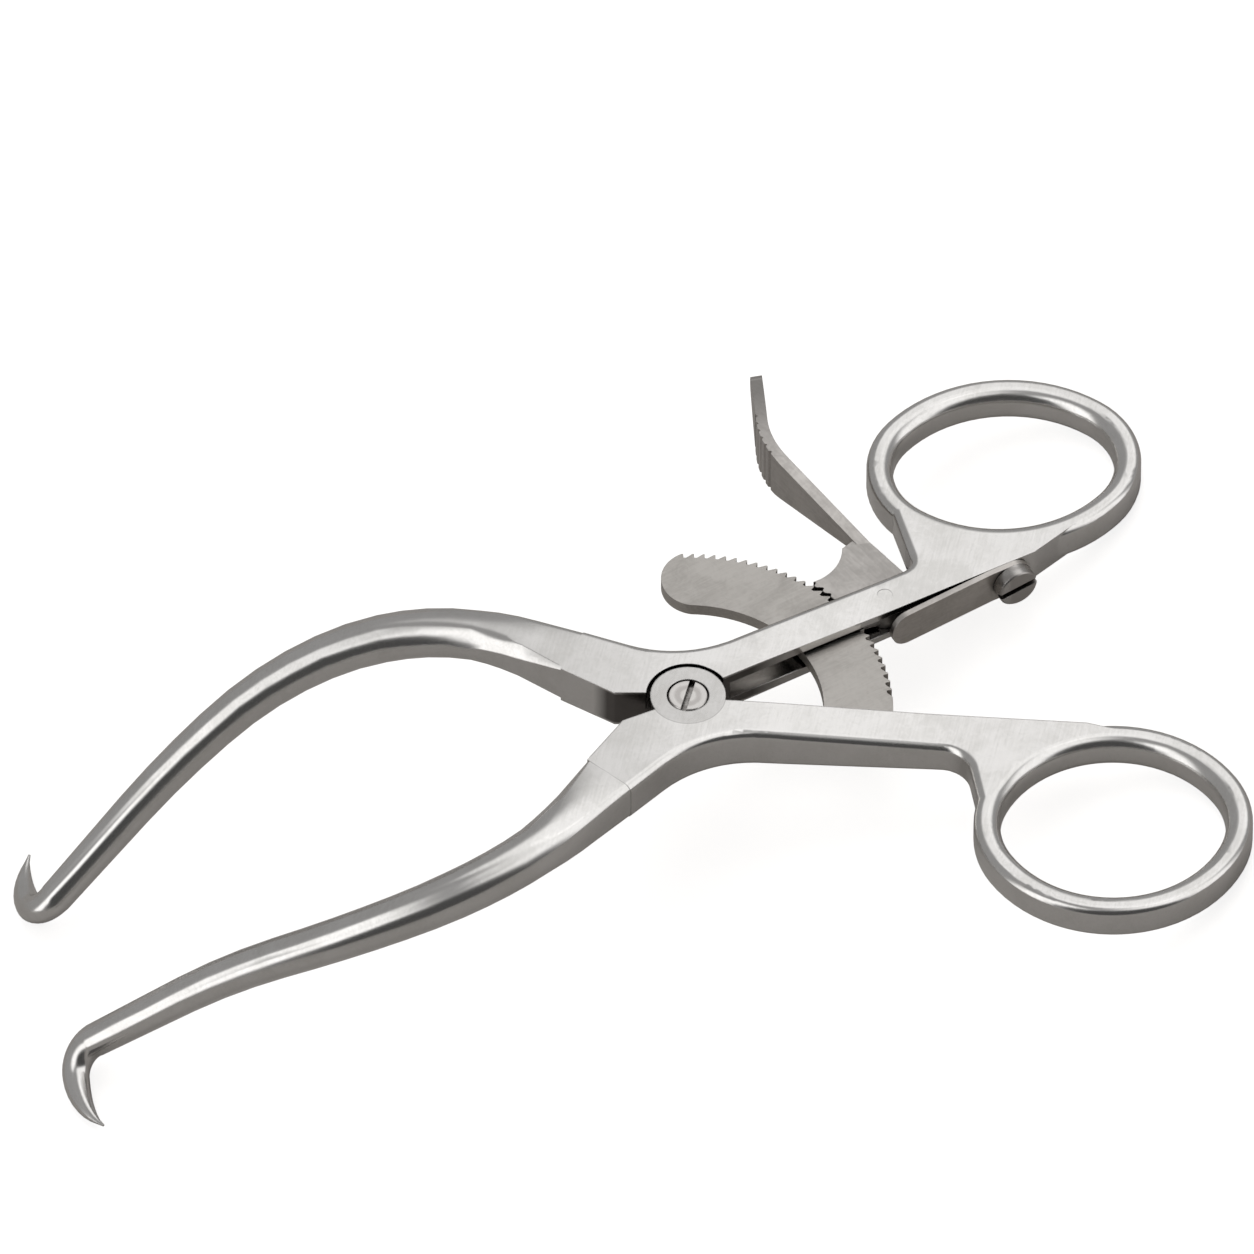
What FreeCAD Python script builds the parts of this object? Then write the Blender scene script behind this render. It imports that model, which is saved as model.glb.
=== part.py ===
import FreeCAD, Part
import math
import os
import re
import Sketcher
from FreeCAD import Placement, Rotation, Vector

# Self retaining retractor, in millimetres. It is drawn flat, with the pivot axis on Z, the mid-plane of the
# handles on XY, the prongs towards -X and the finger rings towards +X. The slotted arm lies on the +Y side.
# At the end every piece gets the same placement, which lays the instrument on its prongs and rings.

doc = FreeCAD.newDocument("retractor")
sheet = doc.addObject("Spreadsheet::Sheet", "sizes")

SIZES = {
    # handles, drawn from the pivot at an angle to the centreline
    "handle_angle": 16.6, "handle_inset": 0.5, "handle_width": 6.4, "plate_height": 6.9,
    "handle_height": 5.6, "taper_start": 10, "taper_end": 33.5, "taper_blend": 150, "edge_round": 1.2,
    # finger rings: ovals of four arcs; rise is how far a ring lies off its handle's inner line
    "ring_wall": 3.9, "opening_round": 1.9, "end_share": 0.8, "pad_along": 58,
    "slotted_along": 63.0, "slotted_length": 32.5, "slotted_width": 25.0, "slotted_turn": -5,
    "slotted_rise": 1.0, "slotted_neck_x": 37.6, "slotted_neck_round": 2.2,
    "ratchet_along": 62.9, "ratchet_length": 32.6, "ratchet_width": 28.8, "ratchet_turn": 9,
    "ratchet_rise": -0.35, "ratchet_neck_x": 37.1, "ratchet_neck_round": 4.6,
    # lap joint
    "boss_radius": 5.5, "recess_radius": 6.1, "lap_gap": 0.06, "scallop_radius": 18,
    "scallop_angle": 33, "shoulder_x": 10.3, "shoulder_y": 2.75, "shoulder_start": 1.7,
    # shank centreline: plan arcs on both sides of its widest place, side arc that turns down, then straight
    "root_x": 14.4, "root_sink": 0.5, "widest_x": 46.5, "widest_y": 25.85,
    "near_bow_radius": 42.5, "near_bow_angle": 37, "far_bow_radius": 58, "far_bow_angle": 18.4,
    "drop_start": 19.5, "drop_radius": 88, "drop_angle": 42.5, "shank_end": 91.2,
    # shank sections: rectangular at the root, rounder where the neck ends and in the bow
    "root_width": 8.4, "middle_width": 7.0, "end_width": 5.0, "middle_height": 7.1, "end_height": 5.1,
    "shoulder_end": 20, "neck_end": 27, "bow_start": 40,
    # prongs
    "bend_radius": 4.5, "bend_angle": 88, "prong_radius": 12, "prong_angle": 48, "prong_dip": 22,
    "point_radius": 0.18,
    # pivot screw
    "head_radius": 2.95, "head_height": 1.6, "screw_radius": 2.1, "screw_slot": 0.85, "slot_depth": 0.9,
    "head_gap": 0.12, "running_gap": 0.03, "seat_gap": 0.02, "screw_slot_angle": 63.6,
    "head_chamfer": 0.2,
    # ratchet bar: tooth angles count from the centreline, from the free end back to the arm
    "bar_radius": 29.75, "bar_inner_radius": 19.7, "bar_height": 2.0, "tooth_pitch": 3.04,
    "tooth_depth": 0.75, "first_tooth": 78.9, "last_tooth": -7, "bar_end_turn": 2.8,
    "mortise_depth": 4.4, "mortise_turn": -40,
    # slot and release lever
    "slot_height": 3.4, "slot_start": 7.2, "slot_end": 42.2, "pin_along": 34.8, "pin_radius": 1.1,
    "hub_radius": 2.6, "hub_gap": 0.05, "lever_height": 2.0, "ride_gap": 0.08, "seat_turn": 3.9,
    "pawl_start": 21, "pawl_end": 41.2, "foot_along": 34.6, "foot_across": 16.0, "foot_bulge": 1.35,
    "heel_along": 38.2, "heel_rear": 2.8, "heel_rear_across": 3.1, "heel_front": 1.8,
    "heel_front_across": 1.3, "heel_bulge": 0.3, "heel_gap": 0.06,
    # web and thumb tab of the lever
    "web_along": 40.2, "web_across": 7.6, "web_width": 1.7, "web_angle": 117.7, "web_length": 25.6,
    "web_root": 4.0, "web_join": 9.5, "web_flare": 3.2, "thumb_radius": 14.2, "thumb_turn": 36,
    "thumb_length": 11.4, "thumb_height": 7.8, "tip_height": 3.6, "thumb_crown": 0.86,
    "serration": 0.5, "serration_count": 6, "serration_start": 0.3, "serration_run": 7.0,
    # leaf spring and its screw
    "spring_length": 23.8, "spring_height": 5.8, "spring_sheet": 0.9, "spring_end": 56.9,
    "spring_flat": 6.4, "spring_lean": 4.1, "spring_gap": 0.1, "spring_screw_along": 53.7,
    "cheese_radius": 3.1, "cheese_height": 2.0, "spring_screw_radius": 1.2, "spring_screw_depth": 4.0,
    "cheese_slot": 1.0, "cheese_slot_depth": 0.9, "cheese_turn": 8,
}
for row, (alias, number) in enumerate(SIZES.items(), start=1):
    sheet.set(f"A{row}", alias)
    sheet.set(f"B{row}", str(number))
    sheet.setAlias(f"B{row}", alias)
doc.recompute()


def size(alias):
    return float(sheet.get(alias))


def formula(text):
    """Turns the names of sizes into references to their cells."""
    return re.sub("[a-z][a-z_]+", lambda m: "sizes." + m[0] if m[0] in SIZES else m[0], text)


def bind(thing, **formulas):
    """Ties properties to formulas of the sheet; two underscores stand for a dot."""
    for path, text in formulas.items():
        thing.setExpression(path.replace("__", "."), formula(text))
    return thing


def handle_place(along, across):
    """The same place as on_handle, as formulas for x and y."""
    return (f"({along}) * cos(handle_angle) - ({across}) * sin(handle_angle)",
            f"({along}) * sin(handle_angle) + ({across}) * cos(handle_angle)")


def primitive(kind, name, x="0", y="0", z="0", **formulas):
    """Part primitive whose sizes and place are formulas."""
    made = bind(doc.addObject("Part::" + kind, name), **formulas)
    return bind(made, Placement__Base__x=x, Placement__Base__y=y, Placement__Base__z=z)


def solid(name, shape):
    made = doc.addObject("Part::Feature", name)
    made.Shape = shape
    return made


def joined(name, base, tool):
    made = doc.addObject("Part::Fuse", name)
    made.Base, made.Tool, made.Refine = base, tool, False
    return made


def cut_out(name, base, *tools):
    """Takes the tools out of the base, one cut for each."""
    for number, tool in enumerate(tools, start=1 - len(tools)):
        made = doc.addObject("Part::Cut", name if number == 0 else f"{name}_less_{tool.Name}")
        made.Base, made.Tool, made.Refine = base, tool, False
        base = made
    return made


def new_sketch(body, name, plane, height):
    drawn = body.newObject("Sketcher::SketchObject", name)
    support = [origin for origin in body.Origin.OriginFeatures if origin.Role == plane][0]
    drawn.AttachmentSupport = [(support, "")]
    drawn.MapMode = "FlatFace"
    return bind(drawn, AttachmentOffset__Base__z=height)


def worth(drawn, text):
    result = drawn.evalExpression(formula(text))
    return getattr(result, "Value", result)


def fixed(drawn, name, kind, *where, text):
    """Adds a constraint whose value is a formula."""
    number = drawn.addConstraint(Sketcher.Constraint(kind, *where, worth(drawn, text)))
    drawn.renameConstraint(number, name)
    drawn.setExpression("Constraints." + name, formula(text))


def outline_sketch(body, name, plane, corners, height="0"):
    """Closed sketch. A corner is two formulas, then a radius where an arc leads to the next corner,
    then True where that arc bulges to the left."""
    drawn = new_sketch(body, name, plane, height)
    starts = []
    for here, after in zip(corners, corners[1:] + corners[:1]):
        a, b = (Vector(worth(drawn, c[0]), worth(drawn, c[1]), 0) for c in (here, after))
        left = len(here) == 4
        starts.append(2 if left else 1)
        if len(here) == 2:
            drawn.addGeometry(Part.LineSegment(a, b), False)
            continue
        radius, half = worth(drawn, here[2]), (b - a).Length / 2
        bulge = (radius - math.sqrt(radius**2 - half**2)) * (-1 if left else 1)
        middle = (a + b) / 2 + Vector(b.y - a.y, a.x - b.x, 0) * (bulge / 2 / half)
        drawn.addGeometry(Part.Arc(a, middle, b), False)
    for number, corner in enumerate(corners):
        after = (number + 1) % len(corners)
        ends = (number, 3 - starts[number], after, starts[after])
        drawn.addConstraint(Sketcher.Constraint("Coincident", *ends))
        fixed(drawn, f"across_{number}", "DistanceX", -1, 1, number, starts[number], text=corner[0])
        fixed(drawn, f"up_{number}", "DistanceY", -1, 1, number, starts[number], text=corner[1])
        if len(corner) > 2:
            fixed(drawn, f"round_{number}", "Radius", number, text=corner[2])
    return drawn


def circle_sketch(body, name, plane, x, radius, height="0"):
    """Circle on the first axis of the plane."""
    drawn = new_sketch(body, name, plane, height)
    centre = Vector(worth(drawn, x), 0, 0)
    drawn.addGeometry(Part.Circle(centre, Vector(0, 0, 1), worth(drawn, radius)), False)
    drawn.addConstraint(Sketcher.Constraint("PointOnObject", 0, 3, -1))
    fixed(drawn, "along", "DistanceX", -1, 1, 0, 3, text=x)
    fixed(drawn, "round", "Radius", 0, text=radius)
    return drawn


def feature(body, kind, name, profile, **formulas):
    made = body.newObject("PartDesign::" + kind, name)
    made.Profile = profile
    if kind == "Revolution":
        made.ReferenceAxis = (profile, ["V_Axis"])
        made.Angle = 360
    return bind(made, **formulas)


UP = Vector(0, 0, 1)
half_plate = size("plate_height") / 2
handle_turn = math.radians(size("handle_angle"))
handle_line = Vector(math.cos(handle_turn), math.sin(handle_turn), 0)
handle_side = Vector(-math.sin(handle_turn), math.cos(handle_turn), 0)


def on_handle(along, across, height=0):
    """A point of the slotted handle: along and across from the pivot, and above the mid-plane."""
    return handle_line * along + handle_side * across + Vector(0, 0, height)


def polar(radius, degrees, height=0):
    turn = math.radians(degrees)
    return Vector(radius * math.cos(turn), radius * math.sin(turn), height)


def slab(edges, height, bottom=None):
    """Solid between two heights over a closed outline of edges that lie at height 0."""
    bottom = -height / 2 if bottom is None else bottom
    face = Part.Face(Part.Wire(Part.sortEdges(edges)[0]))
    return face.translated(Vector(0, 0, bottom)).extrude(Vector(0, 0, height))


def outline(points):
    return [Part.LineSegment(a, b).toShape() for a, b in zip(points, points[1:] + points[:1])]


def mirrored(shape):
    return shape.mirror(Vector(0, 0, 0), Vector(0, 1, 0))


class Ring:
    """Oval finger ring of one arm: half sizes of its opening, end radius, centre and turn."""

    def __init__(self, arm):
        self.long, self.short = size(arm + "_length") / 2, size(arm + "_width") / 2
        self.end = size("end_share") * self.short
        self.turn = size(arm + "_turn")
        rise = size("handle_inset") + size(arm + "_rise")
        self.centre = on_handle(size(arm + "_along"), rise + self.reach(size("handle_angle") + 90))

    def shape(self, grow):
        """Half sizes, end radius and side radius, all grown by the same distance."""
        along, across, end = self.long + grow, self.short + grow, self.end + grow
        side = ((along - end) ** 2 + across**2 - end**2) / (2 * (across - end))
        return along, across, end, side

    def reach(self, degrees):
        """Distance from the centre to the outer outline's tangent that faces this way."""
        along, across, end, side = self.shape(size("ring_wall"))
        turn = math.radians(degrees - self.turn)
        level, rise = abs(math.cos(turn)), abs(math.sin(turn))
        if level * (side - across) > rise * (along - end):
            return (along - end) * level + end
        return side - (side - across) * rise

    def at(self, x, y):
        return self.centre + Rotation(UP, self.turn).multVec(Vector(x, y, 0))

    def inside(self, degrees, depth):
        """A point this deep inside the outer outline, in a direction from the centre."""
        turn = math.radians(degrees - self.turn)
        along, across, _, _ = self.shape(size("ring_wall") - depth)
        return self.at(along * math.cos(turn), across * math.sin(turn))

    def edges(self, grow=0.0):
        along, across, end, side = self.shape(grow)
        x = (along - end) * (1 + end / (side - end))
        y = (side - across) * end / (side - end)
        arcs = [((x, -y), (along, 0), (x, y)), ((-x, y), (-along, 0), (-x, -y)),
                ((x, y), (0, across), (-x, y)), ((-x, -y), (0, -across), (x, -y))]
        return [Part.Arc(*(self.at(*point) for point in arc)).toShape() for arc in arcs]


def centreline(x):
    """Point and direction of the shank's centreline, x millimetres from the pivot towards the prongs."""
    drop, along = size("drop_radius"), x - size("widest_x")
    bow = size("far_bow_radius") if along > 0 else size("near_bow_radius")
    first = -size("near_bow_radius") * math.sin(math.radians(size("near_bow_angle")))
    last = size("far_bow_radius") * math.sin(math.radians(size("far_bow_angle")))
    held = min(max(along, first), last)
    slope = -held / math.sqrt(bow**2 - held**2)
    y = size("widest_y") - bow + math.sqrt(bow**2 - held**2) + slope * (along - held)
    fall = x - size("drop_start")
    fall_held = min(max(fall, 0), drop * math.sin(math.radians(size("drop_angle"))))
    fall_slope = fall_held / math.sqrt(drop**2 - fall_held**2)
    z = -(drop - math.sqrt(drop**2 - fall_held**2) + fall_slope * (fall - fall_held))
    return Vector(-x, y, z), Vector(-1, slope, -fall_slope).normalize()


def section(centre, out, up, width, height, crown, inner, outer):
    """Forged cross section: crowned top and bottom, bulged sides and four corners.

    inner and outer each hold the corner's size, its roundness and the bulge of that side.
    """
    half_width, half_height = width / 2, height / 2

    def at(across, above):
        return centre + out * across + up * above

    def arc(a, b, c):
        return Part.Arc(at(*a), at(*b), at(*c)).toShape()

    def corner(side, above, sizes):
        cut, roundness, bulge = sizes
        a = (side * (half_width - cut), above * (half_height - crown))
        c = (side * (half_width - bulge), above * (half_height - crown - cut + bulge))
        shift = roundness * (cut - bulge)
        b = ((a[0] + c[0]) / 2 + side * shift, (a[1] + c[1]) / 2 + above * shift)
        return a, b, c

    out_top, out_low = corner(1, 1, outer), corner(1, -1, outer)
    in_top, in_low = corner(-1, 1, inner), corner(-1, -1, inner)
    edges = [
        arc(in_top[0], (0, half_height), out_top[0]),
        arc(*out_top),
        arc(out_top[2], (half_width, 0), out_low[2]),
        arc(*reversed(out_low)),
        arc(out_low[0], (0, -half_height), in_low[0]),
        arc(*in_low),
        arc(in_low[2], (-half_width, 0), in_top[2]),
        arc(*reversed(in_top)),
    ]
    return Part.Wire(edges)


# Places along the shank with its section there: width, height, crown, inner corner and outer corner.
def shank_places():
    root, middle, end = size("root_width"), size("middle_width"), size("end_width")
    full, middle_height, end_height = size("plate_height"), size("middle_height"), size("end_height")
    edge = size("edge_round")
    return [
        (size("root_x") - size("root_sink"), root - 0.06, full - 0.04, 0.02,
         (0.3, 0.02, 0.02), (edge + 0.02, 0.2071, 0.02)),
        (size("shoulder_end"), 0.4 * root + 0.6 * middle, full, 0.12, (1.5, 0.03, 0.03), (1.5, 0.19, 0.05)),
        (size("neck_end"), middle + 0.2, 0.7 * full + 0.3 * middle_height, 0.35,
         (2.0, 0.05, 0.1), (1.9, 0.15, 0.15)),
        (size("bow_start"), middle, middle_height, 0.55, (1.9, 0.10, 0.25), (1.9, 0.12, 0.25)),
        (size("shank_end"), end, end_height, 0.4, (1.35, 0.11, 0.3), (1.35, 0.11, 0.3)),
    ]


def blend(a, b, share):
    if isinstance(a, tuple):
        return tuple(blend(p, q, share) for p, q in zip(a, b))
    return a + (b - a) * share


def shank():
    """Bowed shank and outward prong, one loft through sections along the centreline."""
    places = shank_places()
    wires = []
    for first, last, steps in zip(places, places[1:], (3, 3, 4, 12)):
        for step in range(steps + (last is places[-1])):
            here = blend(first, last, step / steps)
            point, forward = centreline(here[0])
            out = Vector(forward.y, -forward.x, 0).normalize()
            # past its widest place the section turns about the centreline, so that the prong dips outwards
            past = max(here[0] - size("widest_x"), 0) / (size("shank_end") - size("widest_x"))
            dip = size("prong_dip") * past
            out = Rotation(forward, dip).multVec(out)
            wires.append(section(point, out, out.cross(forward), *here[1:]))
    # the bend turns the shank outwards in the plane of its own direction and its outward side
    end_width, end_height = size("end_width"), size("end_height")
    up = out.cross(forward)
    bend_steps, prong_steps = 12, 8
    length = 0
    total = math.radians(size("prong_angle")) * size("prong_radius")
    turns = [(size("bend_radius"), size("bend_angle"), bend_steps, 0.0),
             (size("prong_radius"), size("prong_angle"), prong_steps, 1.0)]
    for radius, degrees, steps, tapers in turns:
        for step in range(steps):
            turn = math.radians(degrees / steps)
            chord = 2 * radius * math.sin(turn / 2)
            point = point + forward * chord * math.cos(turn / 2) + out * chord * math.sin(turn / 2)
            forward, out = (forward * math.cos(turn) + out * math.sin(turn),
                            out * math.cos(turn) - forward * math.sin(turn))
            length += turn * radius if tapers else 0
            if tapers:
                share = 0.8 * (1 - (length / total) ** 1.6)
            else:
                share = 1 - 0.2 * (step + 1) / steps
            width = max(end_width * share, 2 * size("point_radius"))
            height = max(end_height * share * 0.95, 2 * size("point_radius"))
            corner = (0.31 * width, 0.105, 0.04 * width)
            wires.append(section(point, out, up, width, height, 0.04 * height, corner, corner))
    return Part.makeLoft(wires, True, True)


def joint_corners():
    """Corners where the plate of the arm meets the shank, inner and outer."""
    point, forward = centreline(size("root_x"))
    out = Vector(forward.y, -forward.x, 0).normalize()
    half = size("root_width") / 2
    return point - out * half, point + out * half


def tapered(shape):
    """Slopes the top and bottom of the handle down to the height that it has at the ring."""
    near, far, low = size("taper_start"), size("taper_end"), size("handle_height") / 2
    slope = math.atan2(half_plate - low, far - near)
    run = size("taper_blend") * math.tan(slope / 2)
    lift = size("taper_blend") * (1 / math.cos(slope / 2) - 1)
    fall = Vector(math.cos(slope), 0, -math.sin(slope))
    across = Vector(math.sin(slope / 2), 0, math.cos(slope / 2))
    start, end = Vector(near, 0, half_plate), Vector(far, 0, low)
    first = (start - Vector(run, 0, 0), start - across * lift, start + fall * run)
    last = (end - fall * run, end + across * lift, end + Vector(run, 0, 0))
    corners = [last[2], Vector(far + 90, 0, low), Vector(far + 90, 0, 9), Vector(first[0].x, 0, 9), first[0]]
    slope = Part.LineSegment(first[2], last[0])
    edges = [Part.Arc(*first).toShape(), slope.toShape(), Part.Arc(*last).toShape()]
    edges += [Part.LineSegment(p, q).toShape() for p, q in zip(corners, corners[1:])]
    above = Part.Face(Part.Wire(edges)).extrude(Vector(0, 90, 0)).translated(Vector(0, -5, 0))
    return shape.cut(above).cut(above.mirror(Vector(0, 0, 0), UP))


def rim_edges(shape, chosen):
    """Edges of the top and bottom rims whose middle passes the test."""
    found = []
    for edge in shape.Edges:
        middle = edge.valueAt((edge.FirstParameter + edge.LastParameter) / 2)
        level = edge.BoundBox.ZMax - edge.BoundBox.ZMin < size("handle_height") / 2
        if level and abs(middle.z) > size("handle_height") / 2 - 0.05 and chosen(middle):
            found.append(edge)
    return found


def handle(ring, neck_x, neck_round):
    """Handle and joint of the +Y arm, a flat forging that runs into the ring."""
    inset = size("handle_inset")
    outer = inset + size("handle_width")
    inner_corner, outer_corner = joint_corners()
    fall_turn = math.radians(size("scallop_angle"))
    fall = Vector(math.cos(fall_turn), -math.sin(fall_turn), 0)
    # the scallop is an arc that touches the shank's outer line and the handle's outer line
    gap = on_handle(0, outer) - outer_corner
    meet = outer_corner + fall * (gap.cross(handle_line).z / fall.cross(handle_line).z)
    half_turn = math.radians(size("scallop_angle") + size("handle_angle")) / 2
    run = size("scallop_radius") * math.tan(half_turn)
    arc_start, arc_end = meet - fall * run, meet + handle_line * run
    lift = size("scallop_radius") * (1 / math.cos(half_turn) - 1)
    arc_middle = meet + ((arc_start + arc_end) / 2 - meet).normalize() * lift
    neck = on_handle((neck_x - on_handle(0, outer).x) / handle_line.x, outer)
    side = ring.inside(168, 1.0)
    touch = on_handle(size("pad_along"), inset)
    run_out = ring.inside(-45, size("edge_round") + 0.3)
    shoulder = Vector(-size("boss_radius"), size("shoulder_start"), 0)
    shoulder_end = Vector(-size("shoulder_x"), size("shoulder_y"), 0)
    before = [run_out, touch, on_handle(0, inset), shoulder, shoulder_end, inner_corner, outer_corner,
              arc_start]
    after = [arc_end, neck, side, ring.centre, run_out]
    edges = [Part.LineSegment(a, b).toShape() for a, b in zip(before, before[1:])]
    edges.append(Part.Arc(arc_start, arc_middle, arc_end).toShape())
    edges += [Part.LineSegment(a, b).toShape() for a, b in zip(after, after[1:])]
    shape = slab(edges, size("plate_height"))
    shape = shape.makeFillet(neck_round, [e for e in shape.Edges if (e.CenterOfMass - neck).Length < 0.01])

    def at_outside(point):
        flat = Vector(point.x, point.y, 0)
        on_side = abs((flat - neck).cross(side - neck).z) < 0.1 and point.x < side.x + 5
        on_line = abs(point.dot(handle_side) - outer) < 0.05 and point.x > 0
        on_scallop = outer_corner.x + 1 < point.x < arc_end.x + 0.01 and point.dot(handle_side) > outer - 0.05
        return on_line or on_side or on_scallop or (flat - neck).Length < 0.7 * neck_round

    shape = tapered(shape)
    return shape.makeFillet(size("edge_round"), rim_edges(shape, at_outside))


def ring_and_plug(ring):
    """Ring with a rounded band, and the plug that takes its opening out of the handle too."""
    solid = slab(ring.edges(size("ring_wall")), size("handle_height"))
    pierced = solid.cut(slab(ring.edges(), 20))
    farthest = ring.long + size("ring_wall") / 2

    def on_hole(point):
        return (Vector(point.x, point.y, 0) - ring.centre).Length < farthest and not on_rim(point)

    def on_rim(point):
        flat = Part.Vertex(point.x, point.y, 0)
        return any(edge.distToShape(flat)[0] < 0.01 for edge in ring.edges(size("ring_wall")))

    pierced = pierced.makeFillet(size("opening_round"), rim_edges(pierced, on_hole))
    plug = solid.cut(pierced)
    banded = solid.makeFillet(size("edge_round"), rim_edges(solid, lambda point: True))
    return banded.cut(plug), plug


def arm_blank(arm):
    """The forging that both arms share but for the ring, for the +Y side."""
    ring = Ring(arm)
    band, plug = ring_and_plug(ring)
    plate = handle(ring, size(arm + "_neck_x"), size(arm + "_neck_round"))
    return plate.cut(plug).fuse(band).fuse(shank())


def cylinder(radius, bottom, top, centre=Vector(0, 0, 0)):
    return Part.makeCylinder(radius, top - bottom, centre + Vector(0, 0, bottom), UP)


def lap(name, forging, upper):
    """Half-lap at the pivot: takes one half of the round joint away and puts the boss on the other."""
    low, high = ("-plate_height", "lap_gap / 2") if upper else ("-lap_gap / 2", "-plate_height / 2")
    room = primitive("Cylinder", name + "_recess", z=low, Radius="recess_radius",
                     Height="plate_height + lap_gap / 2")
    boss = primitive("Cylinder", name + "_boss", z=high, Radius="boss_radius",
                     Height="(plate_height - lap_gap) / 2")
    return joined(name + "_lap", cut_out(name + "_half", forging, room), boss)


def bore(name, radius, x="0", y="0", z="-plate_height"):
    return primitive("Cylinder", name, x, y, z, Radius=radius, Height="2 * plate_height")


def bar_edges(grow, teeth):
    """Outline of the ratchet bar, grown all round, with its teeth or as plain as the mortise."""
    outer, inner = size("bar_radius") + grow, size("bar_inner_radius") - grow
    pitch, first, root = size("tooth_pitch"), size("first_tooth"), size("mortise_turn")
    count = math.floor((first - size("last_tooth")) / pitch) + 1
    last = first - pitch * (count - 1)
    end = first if teeth else last - 2 * pitch
    corners = [polar(outer, end), polar(inner, end)]
    if teeth:
        low, start = outer - size("tooth_depth"), last - pitch * 0.8
        for tooth in range(count):
            crest = last + tooth * pitch
            gap = [(outer, 0.86), (low, 0.3), (low, 0.04), (outer, 0)]
            corners[tooth * 4:tooth * 4] = [polar(radius, crest - back * pitch) for radius, back in gap]
        corners.remove(polar(outer, end))
    begin = math.degrees(math.atan2(corners[0].y, corners[0].x))
    edges = [Part.LineSegment(p, q).toShape() for p, q in zip(corners, corners[1:])]
    edges.append(Part.Arc(polar(outer, root), polar(outer, (root + begin) / 2), corners[0]).toShape())
    edges.append(Part.Arc(corners[-1], polar(inner, (root + end) / 2), polar(inner, root)).toShape())
    edges.append(Part.LineSegment(polar(inner, root), polar(outer, root)).toShape())
    return edges


def ratchet_bar():
    """Curved bar from the mortise's floor to a round free end, one tooth gap cut and repeated."""
    body = doc.addObject("PartDesign::Body", "ratchet_bar")
    floor = "(handle_inset + mortise_depth - seat_gap)"

    def at_floor(radius):
        x, y = handle_place(f"sqrt({radius} ^ 2 - {floor} ^ 2)", floor)
        return x, f"-({y})"

    def at(radius, turn):
        return f"({radius}) * cos({turn})", f"({radius}) * sin({turn})"

    plain = outline_sketch(body, "bar_outline", "XY_Plane", [
        (*at_floor("bar_radius"), "bar_radius"),
        (*at("bar_radius", "first_tooth + 0.14 * tooth_pitch"), "0.53 * (bar_radius - bar_inner_radius)"),
        (*at("bar_inner_radius", "first_tooth - bar_end_turn"), "bar_inner_radius", True),
        at_floor("bar_inner_radius")])
    feature(body, "Pad", "bar_plate", plain, Length="bar_height").SideType = "Symmetric"
    low, beyond = "bar_radius - tooth_depth", "bar_radius + tooth_depth"
    gap = outline_sketch(body, "tooth_gap", "XY_Plane", [
        at(beyond, "first_tooth - 0.86 * tooth_pitch"), at("bar_radius", "first_tooth - 0.86 * tooth_pitch"),
        at(low, "first_tooth - 0.3 * tooth_pitch"), at(low, "first_tooth - 0.04 * tooth_pitch"),
        at("bar_radius", "first_tooth"), at(beyond, "first_tooth")])
    first = feature(body, "Pocket", "first_gap", gap)
    first.Type, first.SideType = "ThroughAll", "Symmetric"
    doc.recompute()
    row = body.newObject("PartDesign::PolarPattern", "tooth_row")
    row.Originals, row.Axis, row.Reversed = [first], (gap, ["N_Axis"]), True
    count = "floor((first_tooth - last_tooth) / tooth_pitch)"
    bind(row, Occurrences=count + " + 1", Angle=f"{count} * tooth_pitch")
    body.Tip = row
    return body


def slotted_arm():
    forging = lap("slotted_arm", solid("slotted_forging", arm_blank("slotted")), upper=False)
    x, y = handle_place("slot_start", "-handle_width")
    slot = primitive("Box", "lever_slot", x, y, "-slot_height / 2", Length="slot_end - slot_start",
                     Width="3 * handle_width", Height="slot_height")
    slot.Placement.Rotation = Rotation(UP, size("handle_angle"))
    x, y = handle_place("pin_along", "handle_inset + handle_width / 2")
    pin_hole = bore("pin_hole", "pin_radius + seat_gap", x, y)
    screw_hole = bore("screw_hole", "screw_radius + seat_gap")
    x, y = handle_place("spring_screw_along", "0")
    tapped = primitive("Cylinder", "tapped_hole", x, y, Radius="spring_screw_radius + seat_gap",
                       Height="handle_inset + spring_screw_depth")
    tapped.Placement.Rotation = Rotation(UP, handle_side)
    return cut_out("slotted_arm", forging, slot, pin_hole, screw_hole, tapped)


def ratchet_arm():
    forging = solid("ratchet_forging", mirrored(arm_blank("ratchet")))
    gap, depth = size("seat_gap"), size("handle_inset") + size("mortise_depth")
    room = slab(bar_edges(gap, teeth=False), size("bar_height") + 2 * gap)
    floor = [(-60, depth), (90, depth), (90, -90), (-60, -90)]
    room = room.common(mirrored(slab(outline([on_handle(*corner) for corner in floor]), 20)))
    counterbore = primitive("Cylinder", "counterbore", z="plate_height / 2 - head_height - running_gap",
                            Radius="head_radius + head_gap", Height="plate_height")
    return cut_out("ratchet_arm", lap("ratchet_arm", forging, upper=True), solid("mortise", room),
                   bore("running_hole", "screw_radius + running_gap"), counterbore)


pin_place = on_handle(size("pin_along"), size("handle_inset") + size("handle_width") / 2)

# The spring lies on the handle at its screw and leans off it towards the free end, where the heel bears.
bend_along = size("spring_end") - size("spring_flat")
heel_fall = (bend_along - size("heel_along")) * math.tan(math.radians(size("spring_lean")))
heel_across = size("handle_inset") - heel_fall + size("heel_gap")


def bowed(a, b, bulge):
    """Arc between two points whose middle stands this far to the right of the straight run."""
    away = Vector(b.y - a.y, a.x - b.x, 0).normalize() * bulge
    return Part.Arc(a, (a + b) / 2 + away, b).toShape()


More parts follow.
